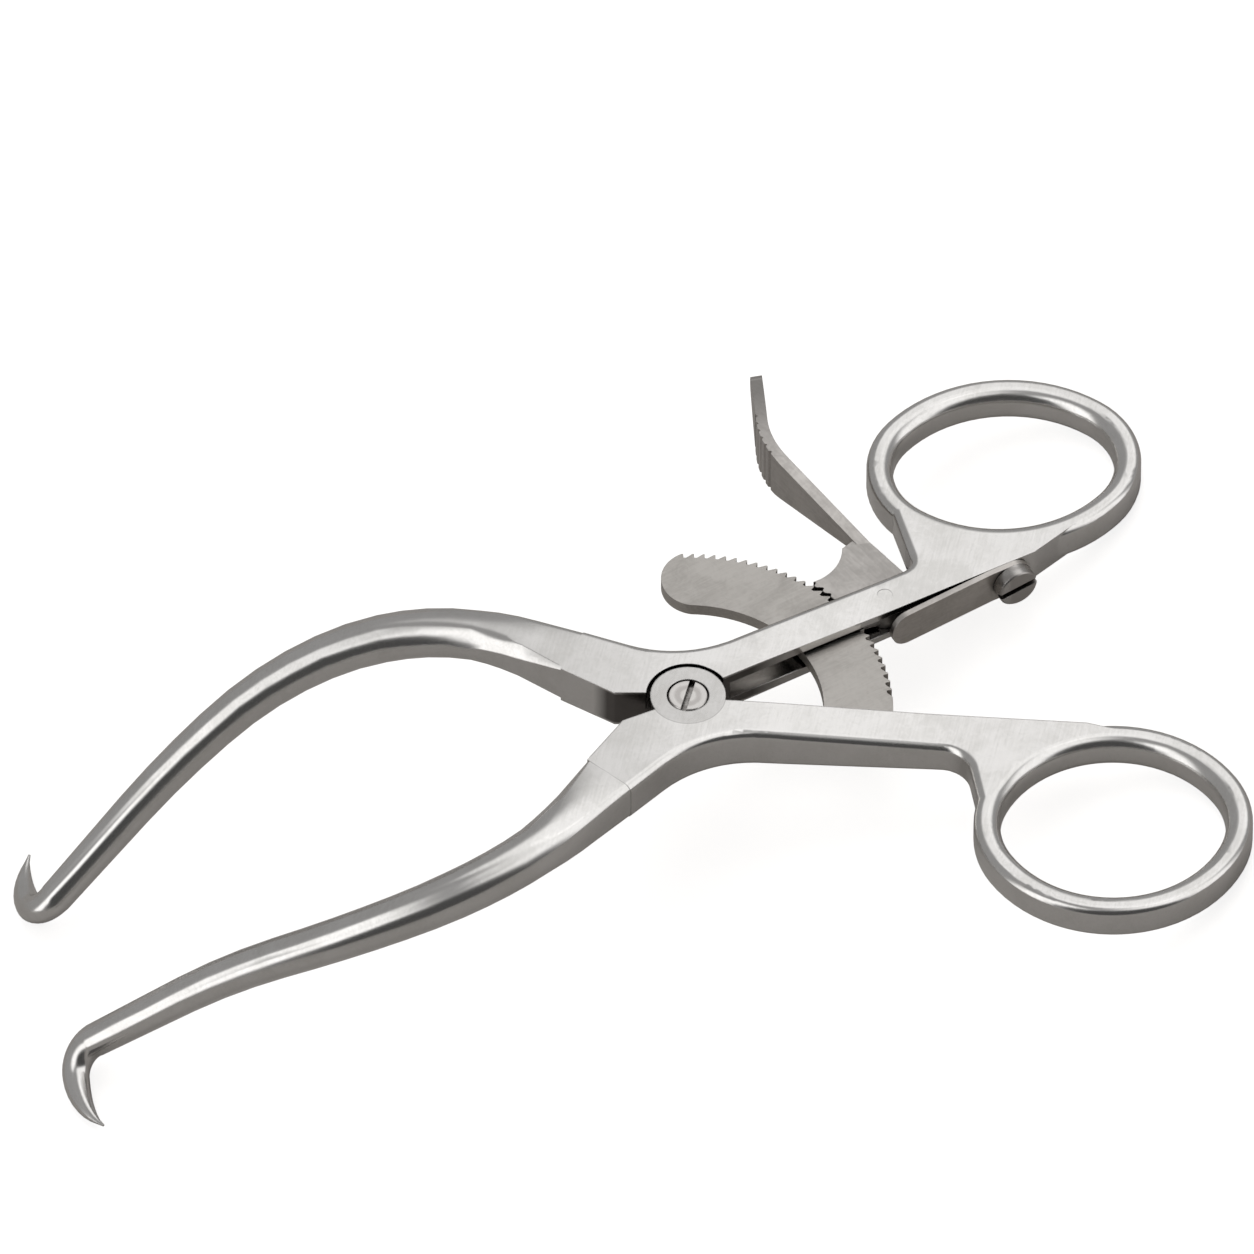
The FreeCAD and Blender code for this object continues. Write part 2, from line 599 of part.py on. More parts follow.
def lever_path():
    """Start and direction of the lever's web, its inward side, and its walls round the thumb's bend."""
    turn = math.radians(size("web_angle"))
    forward = Vector(math.cos(turn), math.sin(turn), 0)
    start = on_handle(size("web_along"), size("web_across"))
    inward = Vector(forward.y, -forward.x, 0)
    knee = start + forward * size("web_length")
    radius, sweep = size("thumb_radius"), size("thumb_turn")
    centre = knee + inward * radius

    def wall(shift):
        out = (knee - centre).normalize() * (radius + shift)
        bend = [centre + Rotation(UP, -sweep * share).multVec(out) for share in (0, 0.5, 1)]
        return bend, bend[2] + Rotation(UP, -sweep).multVec(forward) * size("thumb_length")

    return start, forward, inward, wall


def lever_web():
    """Web and thumb tab: a curved wall whose height follows the side profile."""
    start, forward, inward, wall = lever_path()
    width = size("web_width")
    (near, near_tip), (far, far_tip) = wall(0), wall(width)
    root = start + forward * size("web_root")
    back = root - inward * width
    edges = [Part.Arc(*near).toShape(), Part.Arc(*far).toShape()]
    runs = [(root, near[0]), (near[2], near_tip), (near_tip, far_tip), (far_tip, far[2]),
            (far[0], back), (back, root)]
    edges += [Part.LineSegment(*run).toShape() for run in runs]
    # side profile, seen along X: low at the root, full at the thumb, rounded at the tip
    low, full, tip = size("lever_height") / 2, size("thumb_height") / 2, size("tip_height") / 2
    top = near_tip.y
    foot, flare, knee = root.y - size("web_flare"), root.y + size("web_flare"), near[0].y + tip / 3
    waist = (knee + top) / 2 + tip / 2

    def at(y, z):
        return Vector(0, y, z)

    profile = [Part.LineSegment(*run).toShape() for run in [
        (at(foot, -low), at(flare, -low)), (at(flare, -low), at(knee, -full)),
        (at(knee, full), at(flare, low)), (at(flare, low), at(foot, low)), (at(foot, low), at(foot, -low))]]
    crown = size("thumb_crown") * full
    profile += [Part.Arc(*points).toShape() for points in [
        (at(knee, -full), at(waist, -crown), at(top - tip, -tip)),
        (at(top - tip, -tip), at(top, 0), at(top - tip, tip)),
        (at(top - tip, tip), at(waist, crown), at(knee, full))]]
    side = Part.Face(Part.Wire(Part.sortEdges(profile)[0]))
    web = slab(edges, 20).common(side.extrude(Vector(3 * size("web_length"), 0, 0)))
    # serrations across the outer face of the thumb tab, from the bend towards the tip
    groove = size("serration")
    sweep = math.degrees(size("serration_run") / size("thumb_radius"))
    centre = near[0] + inward * size("thumb_radius")
    for step in range(int(size("serration_count"))):
        share = step / (size("serration_count") - 1)
        turn = -(size("serration_start") * size("thumb_turn") + sweep * share)
        cutter = Part.makeBox(groove, groove, 20, Vector(-groove / 2, -groove / 2, -10))
        cutter.rotate(Vector(0, 0, 0), UP, 45 + size("web_angle") + turn)
        cutter.translate(centre + Rotation(UP, turn).multVec(far[0] - centre))
        web = web.cut(cutter)
    return web


def release_lever():
    """Plate with the pawl teeth and heel, hub on the pin, web and thumb tab."""
    start, forward, inward, wall = lever_path()
    bar, a, b = size("bar_radius") + size("ride_gap"), size("pawl_start"), size("pawl_end")
    foot = on_handle(size("foot_along"), size("foot_across"))
    join = start + forward * size("web_join")
    back = join - inward * size("web_width")
    heel = on_handle(size("heel_along"), heel_across)
    rear = on_handle(size("heel_along") + size("heel_rear"), size("heel_rear_across"))
    front = on_handle(size("heel_along") - size("heel_front"), size("heel_front_across"))
    edges = [
        Part.Arc(polar(bar, a), polar(bar, (a + b) / 2), polar(bar, b)).toShape(),
        bowed(polar(bar, b), foot, size("foot_bulge")),
        bowed(rear, heel, -size("heel_bulge")), bowed(heel, front, -size("heel_bulge")),
    ]
    runs = [(foot, back), (back, join), (join, rear), (front, polar(bar, a))]
    edges += [Part.LineSegment(*run).toShape() for run in runs]
    plate = solid("lever_plate", slab(edges, size("lever_height")).fuse(lever_web()))
    # the pawl teeth are what the toothed bar leaves of the edge while the lever swings in to its seat
    steps = 6
    reach = size("bar_radius") + size("ride_gap") / 2
    teeth = slab(bar_edges(size("ride_gap") / 2, teeth=True), 3 * size("lever_height"))
    gaps = []
    for step in range(1, steps + 1):
        tool = teeth.copy()
        tool.rotate(pin_place, UP, -size("seat_turn") * step / steps)
        gaps.append(tool)
    x, y = handle_place("pin_along", "handle_inset + handle_width / 2")
    hub = primitive("Cylinder", "lever_hub", x, y, "hub_gap - slot_height / 2", Radius="hub_radius",
                    Height="slot_height - 2 * hub_gap")
    gaps = solid("pawl_gaps", gaps[0].multiFuse(gaps[1:]))
    eye = bore("lever_eye", "pin_radius + running_gap", x, y)
    return cut_out("release_lever", joined("lever_and_hub", plate, hub), gaps, eye)


def leaf_spring():
    """Bent strip with round ends, drawn along the handle."""
    body = doc.addObject("PartDesign::Body", "leaf_spring")
    face = "(handle_inset - spring_gap)"
    lean = "(spring_length - spring_flat) * tan(spring_lean)"
    free, bend = "spring_end - spring_length", "spring_end - spring_flat"
    strip = outline_sketch(body, "strip_outline", "XY_Plane", [
        ("spring_end", face), (bend, face), (free, f"{face} - {lean}"),
        (free, f"{face} - {lean} - spring_sheet"), (bend, f"{face} - spring_sheet"),
        ("spring_end", f"{face} - spring_sheet")])
    sheet_pad = feature(body, "Pad", "strip", strip, Length="spring_height")
    sheet_pad.SideType = "Symmetric"
    doc.recompute()
    limits = sheet_pad.Shape.BoundBox
    ends = [f"Edge{number}" for number, edge in enumerate(sheet_pad.Shape.Edges, start=1)
            if edge.Length < 1.2 * size("spring_sheet") and abs(edge.CenterOfMass.z) > limits.ZMax - 0.01
            and not limits.XMin + 0.1 < edge.CenterOfMass.x < limits.XMax - 0.1]
    rounds = body.newObject("PartDesign::Fillet", "strip_ends")
    rounds.Base = (sheet_pad, ends)
    bind(rounds, Radius="0.49 * spring_height")
    hole = circle_sketch(body, "screw_circle", "XZ_Plane", "spring_screw_along",
                         "spring_screw_radius + seat_gap")
    through = feature(body, "Pocket", "screw_hole_in_strip", hole)
    through.Type, through.SideType = "ThroughAll", "Symmetric"
    body.Tip = through
    body.Placement = Placement(Vector(0, 0, 0), Rotation(UP, size("handle_angle")))
    return body


def screw(name, head_radius, head_height, radius, length, slot, depth):
    """Slotted screw that stands on its end at the origin, head on top, its slot along X."""
    body = doc.addObject("PartDesign::Body", name)
    top = f"{length} + {head_height}"
    profile = outline_sketch(body, name + "_profile", "XZ_Plane", [
        ("0", "0"), (radius, "0"), (radius, length), (head_radius, length),
        (head_radius, f"{top} - head_chamfer"), (f"{head_radius} - head_chamfer", top), ("0", top)])
    feature(body, "Revolution", name + "_turned", profile)
    wide, half = f"1.2 * {head_radius}", f"{slot} / 2"
    across = outline_sketch(body, name + "_slot", "XY_Plane", [
        (wide, half), (f"-{wide}", half), (f"-{wide}", f"-{half}"), (wide, f"-{half}")], height=top)
    body.Tip = feature(body, "Pocket", name + "_slot_cut", across, Length=depth)
    return body


def pivot_screw():
    body = screw("pivot_screw", "head_radius", "head_height", "screw_radius",
                 "(plate_height - head_height - seat_gap)", "screw_slot", "slot_depth")
    body.Placement = Placement(UP * (size("seat_gap") - half_plate), Rotation(UP, size("screw_slot_angle")))
    return body


def spring_screw():
    body = screw("spring_screw", "cheese_radius", "cheese_height", "spring_screw_radius",
                 "(spring_screw_depth - 2 * spring_gap + spring_sheet)", "cheese_slot", "cheese_slot_depth")
    depth = size("handle_inset") + size("spring_screw_depth") - 4 * size("spring_gap")
    inwards = Rotation(handle_line, UP * -1, handle_side * -1, "ZXY")
    turned = inwards.multiply(Rotation(UP, size("cheese_turn")))
    body.Placement = Placement(on_handle(size("spring_screw_along"), depth), turned)
    return body


def lever_pin():
    body = doc.addObject("PartDesign::Body", "lever_pin")
    circle = circle_sketch(body, "pin_circle", "XY_Plane", "0", "pin_radius")
    pin = feature(body, "Pad", "pin_length", circle, Length="handle_height - 2 * seat_gap")
    pin.SideType = "Symmetric"
    body.Placement = Placement(pin_place, Rotation())
    return body


os.makedirs("parts", exist_ok=True)
built = {}
for make in (ratchet_arm, ratchet_bar, slotted_arm, pivot_screw, release_lever, lever_pin, leaf_spring,
             spring_screw):
    piece = make()
    piece.Label = make.__name__
    built[piece.Label] = piece
doc.recompute()


def tilted(degrees):
    return Rotation(Vector(0, 1, 0), degrees)


def resting_placement(shape):
    """Tilts the instrument until prongs and rings reach the table together, and stands it on the origin."""
    points = shape.tessellate(0.05)[0]
    prongs = [p for p in points if p.x < -size("shank_end") / 2]
    rings = [p for p in points if p.x > size("pad_along") / 2]
    low, high = 0.0, 30.0
    while high - low > 1e-7:
        middle = (low + high) / 2
        turn = tilted(middle)
        if min(turn.multVec(p).z for p in prongs) < min(turn.multVec(p).z for p in rings):
            low = middle
        else:
            high = middle
    turned = Part.makeCompound([o.Shape for o in built.values()])
    turned.Placement = Placement(Vector(0, 0, 0), tilted(low))
    box = turned.optimalBoundingBox(True, False)
    return Placement(Vector(-(box.XMin + box.XMax) / 2, -(box.YMin + box.YMax) / 2, -box.ZMin), tilted(low))


rest = resting_placement(built["ratchet_arm"].Shape)
print("rest", rest)
for name, piece in built.items():
    piece.Placement = rest.multiply(piece.Placement)
doc.recompute()
broken = [o.Name for o in doc.Objects if {"Invalid", "Error"} & set(o.State)]
broken += [name for name, piece in built.items() if piece.Shape.isNull() or not piece.Shape.isValid()]
if broken:
    raise RuntimeError(f"pieces that failed: {broken}")
for name, piece in built.items():
    print(name, len(piece.Shape.Solids), round(piece.Shape.Volume, 1))
    piece.Shape.exportStep(f"parts/{piece.Label}.step")
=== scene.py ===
import bpy, math
from mathutils import Matrix, Vector


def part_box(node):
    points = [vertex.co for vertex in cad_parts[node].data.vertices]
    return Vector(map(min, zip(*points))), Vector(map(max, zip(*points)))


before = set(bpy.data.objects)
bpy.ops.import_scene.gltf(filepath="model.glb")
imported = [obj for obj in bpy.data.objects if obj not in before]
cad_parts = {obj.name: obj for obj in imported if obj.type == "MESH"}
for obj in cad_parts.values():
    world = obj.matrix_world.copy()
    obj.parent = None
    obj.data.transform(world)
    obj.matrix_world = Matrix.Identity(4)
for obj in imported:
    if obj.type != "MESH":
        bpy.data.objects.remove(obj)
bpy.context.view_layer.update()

# The retractor's own frame

# Lying down, it is pitched on its prongs and rings, so its flat plates are tilted.
# Flat frame: pivot at the origin, +X towards the finger rings, +Z out of the upper face.
PIVOT = Vector((0.0145349, -0.00367809, 0.0190574))
TILT = math.radians(12.7126)
PLATE_TOP = 0.00345
MM = 0.001
flat_to_row = Matrix.Translation(PIVOT) @ Matrix.Rotation(TILT, 4, "Y")
row_to_flat = flat_to_row.inverted()


def linear(hex_colour):
    """sRGB hex to the linear RGBA that a shader takes."""
    values = [int(hex_colour[i:i + 2], 16) / 255 for i in (1, 3, 5)]
    values = [v / 12.92 if v <= 0.04045 else ((v + 0.055) / 1.055) ** 2.4 for v in values]
    return (*values, 1.0)


def add(tree, kind, settings=None, **inputs):
    """Adds one node: settings are its properties, inputs are values or the sockets that feed it."""
    node = tree.nodes.new(kind)
    for name, value in (settings or {}).items():
        setattr(node, name, value)
    for name, value in inputs.items():
        key = int(name[1:]) if name[1:].isdigit() else name.replace("_", " ")
        socket = node.inputs[key]
        if isinstance(value, bpy.types.NodeSocket):
            tree.links.new(value, socket)
        else:
            socket.default_value = value
    return node


def middle_of(name):
    """Middle of the box of a CAD node."""
    low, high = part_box(name)
    return (low + high) / 2


def ray(azimuth, height):
    """Unit vector towards a place given in degrees: azimuth from straight behind, and height."""
    azimuth, height = math.radians(azimuth), math.radians(height)
    return Vector((math.sin(azimuth) * math.cos(height), math.cos(azimuth) * math.cos(height),
                   math.sin(height)))


def lamp(name, place, size, watts):
    """Adds one square-on area light at a place, turned to the part. The steel does not mirror it."""
    light = bpy.data.lights.new(name, "AREA")
    light.shape, light.size, light.size_y, light.energy = "RECTANGLE", size[0], size[1], watts
    holder = bpy.data.objects.new(name, light)
    bpy.context.scene.collection.objects.link(holder)
    turn = Vector(place).to_track_quat("Z", "Y").to_matrix().to_4x4()
    holder.matrix_world = Matrix.Translation(Vector(place)) @ turn
    holder.visible_glossy = False


# Finishes

FLAT_TURN = row_to_flat.to_euler()
BOSS_RADIUS = 5.5 * MM
# painted shade of the unmodelled groove round the boss: it starts this far from the disc's edge and is
# darkest this far
GROOVE_SHADE_WIDE, GROOVE_SHADE_SHARP = 0.12 * MM, 0.03 * MM
DISC_SHADE, GROOVE_SHADE_STRENGTH, DISC_ROUGHER = 0.16, 0.5, 0.06
# painted shade in the joint, standing for the dark reflections there, fades out between these distances:
# from the middle line, from the pivot, and below the faces of the plates
JOINT_SHADE_SIDE, JOINT_SHADE_AWAY, JOINT_SHADE_DEEP = (5.2 * MM, 3.6 * MM), (26 * MM, 14 * MM), (0.1 * MM, 0.5 * MM)
# each shank leaves its plate at 37 degrees to the middle line, this far from the pivot
SHANK_TURN, SHANK_ROOT = math.radians(37), 18.95 * MM
PIN_PLACE, PIN_RADIUS = row_to_flat @ middle_of("lever_pin"), 1.1 * MM
JOINT_BARE, JOINT_FADE = 0.3 * MM, 0.7 * MM
# the plates start to fall away at the pivot and are straight again this far along the shanks
FALL_LENGTH, FALL_DEPTH = 36 * MM, 1 * MM
EDGE_ROUND, WORN_EDGE = 0.12 * MM, 0.24 * MM
CLOUD_SIZE, SMEAR_SIZE, MARK_DEPTH = 8 * MM, 2 * MM, 0.02 * MM
SMEAR_SHARE, MARK_SHARE = 0.4, 0.3
TONE_DULL, TONE_BRIGHT = 0.36, 0.62
# painted shade in recesses: how far the occlusion looks, and the occlusion where the shade is full and where
# it ends
CREVICE_SHADE_REACH, CREVICE_SHADE_FULL, CREVICE_SHADE_NONE = 4 * MM, 0.25, 0.65
# a wave texture draws twenty rings to a unit of its scale
RINGS_PER_SCALE = 20


def steel(name, bright, dull, roughness, vary, streak_mm, streak_turn, grain, boss=False, rings=None):
    """Bare steel. Bright and dull are its tones, streaks the marks of its last finishing, width by length.
    Rings names the middle of lathe marks instead; boss adds the turned disc of the lap joint and painted
    shade in the joint. Every steel gets painted shade in its recesses."""
    material = bpy.data.materials.new(name)
    material.use_nodes = True
    tree = material.node_tree
    shader = tree.nodes["Principled BSDF"]
    shader.inputs["Metallic"].default_value = 1.0
    place = add(tree, "ShaderNodeTexCoord").outputs["Object"]
    flat = add(tree, "ShaderNodeMapping", Vector=place, Location=row_to_flat.translation,
               Rotation=FLAT_TURN).outputs["Vector"]
    # hand polishing leaves slow clouds and finer smears
    clouds = add(tree, "ShaderNodeTexNoise", Vector=flat, Scale=1 / CLOUD_SIZE, Detail=2.0,
                 Distortion=0.8).outputs["Fac"]
    smears = add(tree, "ShaderNodeTexNoise", Vector=flat, Scale=1 / SMEAR_SIZE, Detail=4.0, Roughness=0.6,
                 Distortion=2.5).outputs["Fac"]
    if rings:
        middle = row_to_flat @ Vector(rings)
        centred = add(tree, "ShaderNodeVectorMath", {"operation": "SUBTRACT"}, _0=flat,
                      _1=middle).outputs[0]
        marks = add(tree, "ShaderNodeTexWave", {"wave_type": "RINGS", "rings_direction": "Z"},
                    Vector=centred, Scale=1 / (streak_mm[0] * MM * RINGS_PER_SCALE), Distortion=1.0,
                    Detail=3.0).outputs["Fac"]
    else:
        along = add(tree, "ShaderNodeMapping", {"vector_type": "TEXTURE"}, Vector=flat,
                    Rotation=(0.0, 0.0, math.radians(streak_turn)),
                    Scale=(streak_mm[1] * MM, streak_mm[0] * MM, streak_mm[0] * MM)).outputs["Vector"]
        marks = add(tree, "ShaderNodeTexNoise", Vector=along, Scale=1.0, Detail=4.0,
                    Roughness=0.65).outputs["Fac"]
    tone = add(tree, "ShaderNodeMix", {"data_type": "FLOAT"}, _0=SMEAR_SHARE, _2=clouds,
               _3=smears).outputs[0]
    tone = add(tree, "ShaderNodeMix", {"data_type": "FLOAT"}, _0=MARK_SHARE, _2=tone, _3=marks).outputs[0]
    tone = add(tree, "ShaderNodeMapRange", {"interpolation_type": "SMOOTHSTEP"}, Value=tone,
               From_Min=TONE_DULL, From_Max=TONE_BRIGHT).outputs[0]
    colour = add(tree, "ShaderNodeMix", {"data_type": "RGBA"}, _0=tone, _6=linear(dull),
                 _7=linear(bright)).outputs[2]
    rough = add(tree, "ShaderNodeMapRange", Value=tone, To_Min=roughness + vary,
                To_Max=roughness - vary).outputs[0]
    edge_round = EDGE_ROUND
    if boss:
        # the disc is faced on a lathe after forging: a shade duller than the plate. The fine groove round
        # its edge is not modelled: its shade is painted as a dark ring
        level = add(tree, "ShaderNodeVectorMath", {"operation": "MULTIPLY"}, _0=flat,
                    _1=(1, 1, 0)).outputs[0]
        away = add(tree, "ShaderNodeVectorMath", {"operation": "LENGTH"}, _0=level).outputs["Value"]
        disc = add(tree, "ShaderNodeMapRange", Value=away, From_Min=BOSS_RADIUS,
                   From_Max=BOSS_RADIUS - 0.05 * MM).outputs[0]
        off = add(tree, "ShaderNodeMath", {"operation": "SUBTRACT"}, _0=away, _1=BOSS_RADIUS).outputs[0]
        off = add(tree, "ShaderNodeMath", {"operation": "ABSOLUTE"}, _0=off).outputs[0]
        groove_shade = add(tree, "ShaderNodeMapRange", Value=off, From_Min=GROOVE_SHADE_WIDE, From_Max=GROOVE_SHADE_SHARP,
                     To_Max=GROOVE_SHADE_STRENGTH).outputs[0]
        shade = add(tree, "ShaderNodeMath", {"operation": "MULTIPLY"}, _0=disc, _1=DISC_SHADE).outputs[0]
        shade = add(tree, "ShaderNodeMath", {"operation": "MAXIMUM"}, _0=shade, _1=groove_shade).outputs[0]
        colour = add(tree, "ShaderNodeMix", {"data_type": "RGBA"}, _0=shade, _6=colour,
                     _7=linear("#8F8D8B")).outputs[2]
        rough = add(tree, "ShaderNodeMath", {"operation": "MULTIPLY_ADD"}, _0=disc, _1=DISC_ROUGHER,
                    _2=rough).outputs[0]
        # painted shade darkens the walls of the lap joint, between the arms and below their faces, for the
        # dark reflections there
        parts = add(tree, "ShaderNodeSeparateXYZ", Vector=flat).outputs
        depth = add(tree, "ShaderNodeMath", {"operation": "ABSOLUTE"}, _0=parts["Z"]).outputs[0]
        depth = add(tree, "ShaderNodeMapRange", Value=depth, From_Min=PLATE_TOP - JOINT_SHADE_DEEP[0],
                    From_Max=PLATE_TOP - JOINT_SHADE_DEEP[1], To_Max=0.9).outputs[0]
        over = add(tree, "ShaderNodeMath", {"operation": "ABSOLUTE"}, _0=parts["Y"]).outputs[0]
        beside = add(tree, "ShaderNodeMapRange", Value=over, From_Min=JOINT_SHADE_SIDE[0],
                     From_Max=JOINT_SHADE_SIDE[1]).outputs[0]
        near = add(tree, "ShaderNodeMapRange", {"interpolation_type": "SMOOTHSTEP"}, Value=away,
                   From_Min=JOINT_SHADE_AWAY[0], From_Max=JOINT_SHADE_AWAY[1]).outputs[0]
        joint_shade = add(tree, "ShaderNodeMath", {"operation": "MULTIPLY"}, _0=beside, _1=near).outputs[0]
        joint_shade = add(tree, "ShaderNodeMath", {"operation": "MULTIPLY"}, _0=joint_shade, _1=depth).outputs[0]
        colour = add(tree, "ShaderNodeMix", {"data_type": "RGBA"}, _0=joint_shade, _6=colour,
                     _7=linear("#4A4542")).outputs[2]
        # plate and shank are polished in one, and over the end of the lever pin: no rounded edge shows there
        folded = add(tree, "ShaderNodeCombineXYZ", X=parts["X"], Y=over).outputs[0]
        seam = add(tree, "ShaderNodeVectorMath", {"operation": "DOT_PRODUCT"}, _0=folded,
                   _1=(-math.cos(SHANK_TURN), math.sin(SHANK_TURN), 0)).outputs["Value"]
        seam = add(tree, "ShaderNodeMath", {"operation": "SUBTRACT"}, _0=seam, _1=SHANK_ROOT).outputs[0]
        seam = add(tree, "ShaderNodeMath", {"operation": "ABSOLUTE"}, _0=seam).outputs[0]
        pin = add(tree, "ShaderNodeVectorMath", {"operation": "DISTANCE"}, _0=level,
                  _1=(PIN_PLACE.x, PIN_PLACE.y, 0)).outputs["Value"]
        pin = add(tree, "ShaderNodeMath", {"operation": "SUBTRACT"}, _0=pin, _1=PIN_RADIUS).outputs[0]
        pin = add(tree, "ShaderNodeMath", {"operation": "ABSOLUTE"}, _0=pin).outputs[0]
        joint = add(tree, "ShaderNodeMath", {"operation": "MINIMUM"}, _0=seam, _1=pin).outputs[0]
        edge_round = add(tree, "ShaderNodeMapRange", Value=joint, From_Min=JOINT_BARE, From_Max=JOINT_FADE,
                         To_Max=WORN_EDGE).outputs[0]
    # painted shade: slots, bores and the gullets between teeth are darkened by how closely other surfaces
    # hide them
    reach = add(tree, "ShaderNodeAmbientOcclusion", {"samples": 4}, Distance=CREVICE_SHADE_REACH).outputs["AO"]
    reach = add(tree, "ShaderNodeMapRange", {"interpolation_type": "SMOOTHSTEP"}, Value=reach,
                From_Min=CREVICE_SHADE_FULL, From_Max=CREVICE_SHADE_NONE).outputs[0]
    colour = add(tree, "ShaderNodeMix", {"data_type": "RGBA"}, _0=reach, _6=linear("#3A3633"),
                 _7=colour).outputs[2]
    tree.links.new(colour, shader.inputs["Base Color"])
    tree.links.new(rough, shader.inputs["Roughness"])
    soft = add(tree, "ShaderNodeBevel", {"samples": 4}, Radius=edge_round).outputs[0]
    if boss:
        # hand polishing leaves the plates not quite flat: they fall away a little towards the shanks
        fall = add(tree, "ShaderNodeMapRange", {"interpolation_type": "SMOOTHSTEP"}, Value=parts["X"],
                   From_Min=-FALL_LENGTH, From_Max=0.0).outputs[0]
        soft = add(tree, "ShaderNodeBump", Strength=1.0, Distance=FALL_DEPTH, Height=fall,
                   Normal=soft).outputs[0]
    scratched = add(tree, "ShaderNodeBump", Strength=grain, Distance=MARK_DEPTH, Height=marks,
                    Normal=soft).outputs[0]
    tree.links.new(scratched, shader.inputs["Normal"])
    return material


# Forged stainless steel, hand polished to a satin: bright, with soft reflections and faint cloudy streaks.
satin = steel("stainless_steel_satin_polished", "#DDDBD9", "#D4D2CF", 0.20, 0.03, (0.30, 6.0), 65, 0.03,
              boss=True)
# Stainless bar, surface ground and left matt: an even mid grey that hardly mirrors anything.
ground = steel("stainless_steel_surface_ground", "#C4C0BB", "#B6B2AD", 0.44, 0.04, (0.30, 4.0), 20, 0.25)
# Stainless lever, tumbled after bending: a little darker, with a dull sheen on its curve.
tumbled = steel("stainless_steel_tumbled", "#C1BDB9", "#B0ACA8", 0.36, 0.05, (0.40, 3.0), 117, 0.20)
# Screws turned from stainless rod: faint lathe rings round the middle of each face.
turned_pivot = steel("stainless_steel_turned_pivot", "#CFCCC9", "#BFBBB8", 0.26, 0.04, (0.25, 0), 0, 0.2,
                     rings=PIVOT)
turned_small = steel("stainless_steel_turned_small", "#BDBAB7", "#ADA9A6", 0.30, 0.04, (0.25, 0), 0, 0.2,
                     rings=middle_of("spring_screw"))
# Spring steel strip, rolled and tempered: a flatter grey with marks along its length.
rolled_strip = steel("spring_steel_rolled", "#D0CBC6", "#BEB9B4", 0.36, 0.05, (0.25, 6.0), 16.6, 0.2)

finish = {"slotted_arm": satin, "ratchet_arm": satin, "ratchet_bar": ground,
          "release_lever": tumbled, "leaf_spring": rolled_strip, "pivot_screw": turned_pivot,
          "spring_screw": turned_small, "lever_pin": satin}
for name, material in finish.items():
    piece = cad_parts[name]
    for slot in piece.material_slots:
        slot.material = material
    # shades the fine facets of the forgings as the smooth surfaces that they stand for
    weld = piece.modifiers.new("weld", "WELD")
    weld.merge_threshold = 0.002 * MM
    split = piece.modifiers.new("edges", "EDGE_SPLIT")
    split.split_angle = math.radians(28)
    shading = piece.modifiers.new("shading", "WEIGHTED_NORMAL")
    shading.weight, shading.keep_sharp = 60, True

# Floor, light and camera

# half the width of the floor in metres, and how bright the camera sees it beyond its own light
FLOOR, PAPER_GLOW = 3, 0.8
floor = bpy.data.objects.new("floor", bpy.data.meshes.new("floor"))
floor.data.from_pydata([(-FLOOR, -FLOOR, 0), (FLOOR, -FLOOR, 0), (FLOOR, FLOOR, 0), (-FLOOR, FLOOR, 0)],
                       [], [(0, 1, 2, 3)])
bpy.context.scene.collection.objects.link(floor)
paper = bpy.data.materials.new("white_paper")
paper.use_nodes = True
tree = paper.node_tree
shader = tree.nodes["Principled BSDF"]
shader.inputs["Base Color"].default_value = linear("#F5F1ED")
shader.inputs["Roughness"].default_value = 0.9
shader.inputs["Specular IOR Level"].default_value = 0.0
# Seen directly the paper is plain white but for the shadow; the steel mirrors it as it is lit.
rays = add(tree, "ShaderNodeLightPath").outputs
seen = add(tree, "ShaderNodeMath", {"operation": "MULTIPLY"}, _0=rays["Is Camera Ray"],
           _1=PAPER_GLOW).outputs[0]
lit = add(tree, "ShaderNodeEmission", Color=(1, 1, 1, 1), Strength=seen)
both = add(tree, "ShaderNodeAddShader", _0=shader.outputs[0], _1=lit.outputs[0])
tree.links.new(both.outputs[0], tree.nodes["Material Output"].inputs["Surface"])
floor.data.materials.append(paper)

world = bpy.data.worlds.new("studio")
bpy.context.scene.world = world
world.use_nodes = True
tree = world.node_tree
backdrop = tree.nodes["Background"]
# Seen directly it is plain white. The steel mirrors a studio: pale walls, dark towards the camera, with
# three tall soft lights: one on the left, one on the right, and one behind it, high up on the right.
WALLS, CAMERA_SIDE, FILL = 0.36, 0.08, 0.2
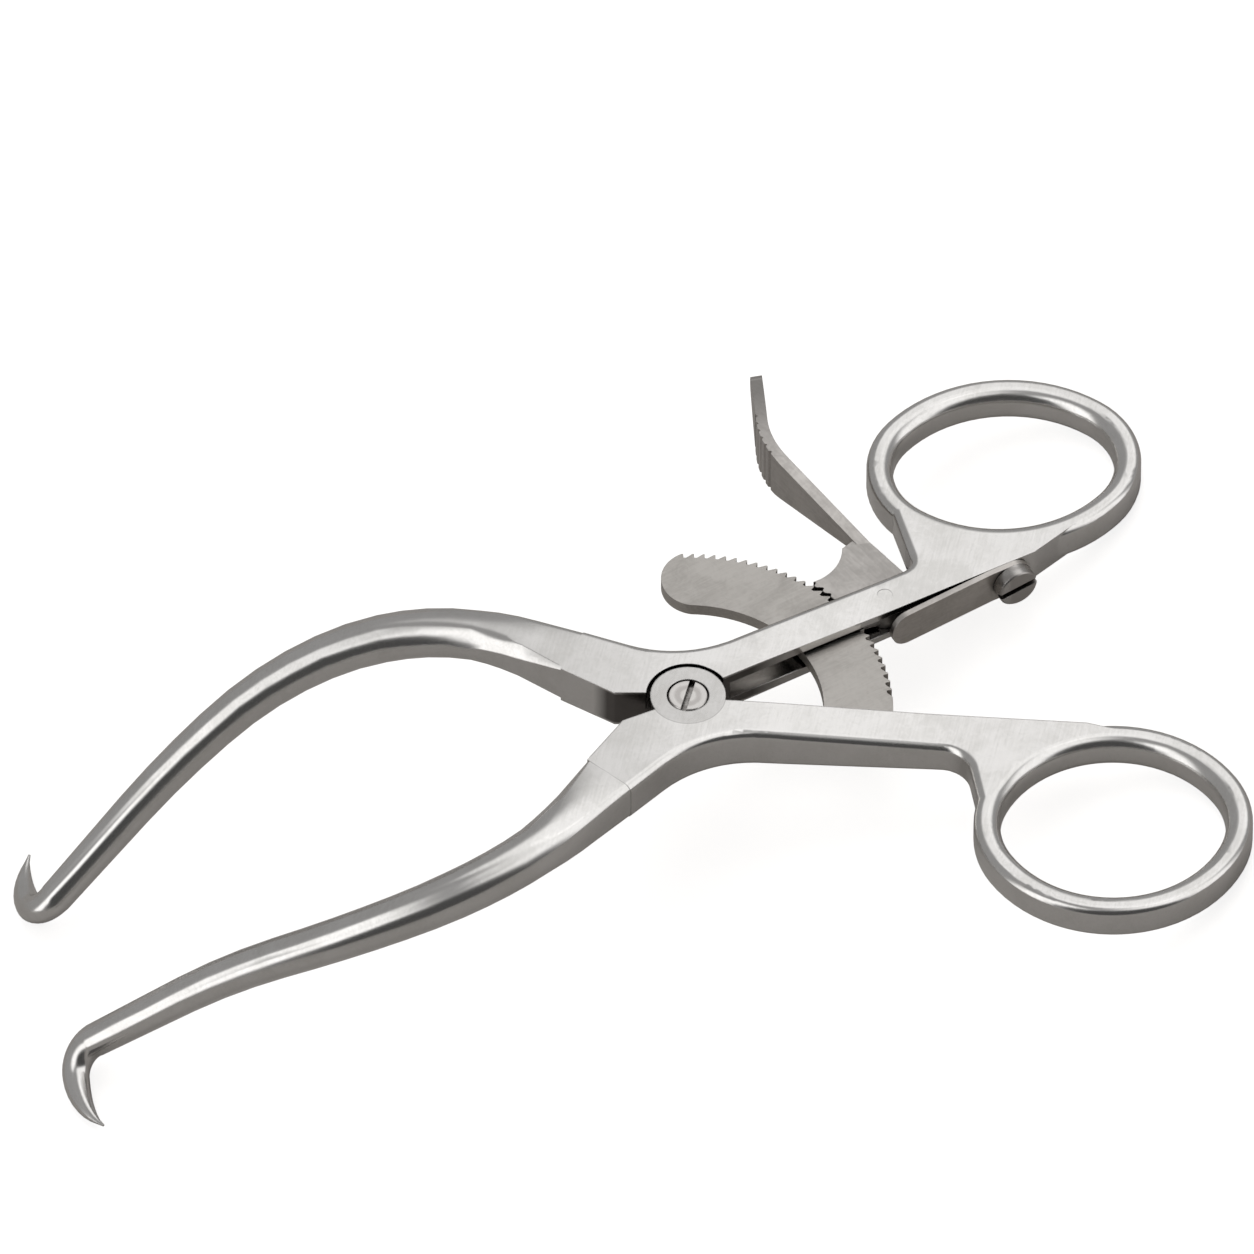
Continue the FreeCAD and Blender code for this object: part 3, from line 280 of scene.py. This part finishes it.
# each light: its two ends, as azimuth from straight behind and height, half its width, and how far past its
# middle it reaches, all in degrees, and its strength
PANELS = (((-107, 0), (-134, 62), 15, 43, 1.15),
          ((111, 0), (111, 60), 22, 44, 0.9),
          ((43, 35), (43, 65), 18, 27, 0.85))
rays = add(tree, "ShaderNodeLightPath").outputs
way = add(tree, "ShaderNodeTexCoord").outputs["Generated"]
front = add(tree, "ShaderNodeVectorMath", {"operation": "DOT_PRODUCT"}, _0=way,
            _1=(0, -0.97, 0.24)).outputs["Value"]
room = add(tree, "ShaderNodeMapRange", {"interpolation_type": "SMOOTHSTEP"}, Value=front, From_Min=0.55,
           From_Max=0.88, To_Min=WALLS, To_Max=CAMERA_SIDE).outputs[0]
for start, end, wide, reach, strength in PANELS:
    first, last = ray(*start), ray(*end)
    across = add(tree, "ShaderNodeVectorMath", {"operation": "DOT_PRODUCT"}, _0=way,
                 _1=first.cross(last).normalized()).outputs["Value"]
    across = add(tree, "ShaderNodeMath", {"operation": "ABSOLUTE"}, _0=across).outputs[0]
    across = add(tree, "ShaderNodeMapRange", {"interpolation_type": "SMOOTHSTEP"}, Value=across,
                 From_Min=math.sin(math.radians(wide * 1.3)),
                 From_Max=math.sin(math.radians(wide * 0.6))).outputs[0]
    along = add(tree, "ShaderNodeVectorMath", {"operation": "DOT_PRODUCT"}, _0=way,
                _1=(first + last).normalized()).outputs["Value"]
    along = add(tree, "ShaderNodeMapRange", {"interpolation_type": "SMOOTHSTEP"}, Value=along,
                From_Min=math.cos(math.radians(reach * 1.2)), From_Max=math.cos(math.radians(reach * 0.7)),
                To_Max=strength).outputs[0]
    panel = add(tree, "ShaderNodeMath", {"operation": "MULTIPLY"}, _0=across, _1=along).outputs[0]
    room = add(tree, "ShaderNodeMath", {"operation": "ADD"}, _0=room, _1=panel).outputs[0]
fill = add(tree, "ShaderNodeMix", {"data_type": "FLOAT"}, _0=rays["Is Glossy Ray"], _2=FILL,
           _3=room).outputs[0]
sky = add(tree, "ShaderNodeMix", {"data_type": "FLOAT"}, _0=rays["Is Camera Ray"], _2=fill,
          _3=1.0).outputs[0]
tree.links.new(sky, backdrop.inputs["Strength"])
backdrop.inputs["Color"].default_value = (1, 1, 1, 1)

# The camera's own axes in the flat frame: a long lens, turned 12.4 degrees and looking down at 48.
turn, look_sine = math.radians(12.4), 0.745
look_cosine = math.sqrt(1 - look_sine ** 2)
right = flat_to_row.to_3x3() @ Vector((math.cos(turn), -math.sin(turn), 0))
up = flat_to_row.to_3x3() @ Vector((math.sin(turn) * look_sine, math.cos(turn) * look_sine, look_cosine))
back = right.cross(up)
# the picture's middle lies this far left of the boss and above it
AIM_LEFT, AIM_UP = 8.84 * MM, 9.86 * MM
aim = flat_to_row @ Vector((0, 0, PLATE_TOP)) - right * AIM_LEFT + up * AIM_UP
# lens and sensor in millimetres, and the width that the picture shows at the boss, in metres
LENS, SENSOR, FIELD = 800.0, 36.0, 0.1817
camera = bpy.data.objects.new("camera", bpy.data.cameras.new("camera"))
camera.data.lens, camera.data.sensor_width = LENS, SENSOR
camera.data.clip_start, camera.data.clip_end = 0.1, 100.0
camera.matrix_world = (Matrix.Translation(aim + back * FIELD * LENS / SENSOR)
                       @ Matrix((right, up, back)).transposed().to_4x4())
bpy.context.scene.collection.objects.link(camera)
bpy.context.scene.camera = camera

lamp("softbox_behind", (0.2, 0.6, 1.1), (1.1, 0.9), 2.4)
lamp("softbox_left", (-0.9, -0.3, 0.9), (0.8, 0.8), 1.2)

scene = bpy.context.scene
scene.view_settings.view_transform = "Standard"
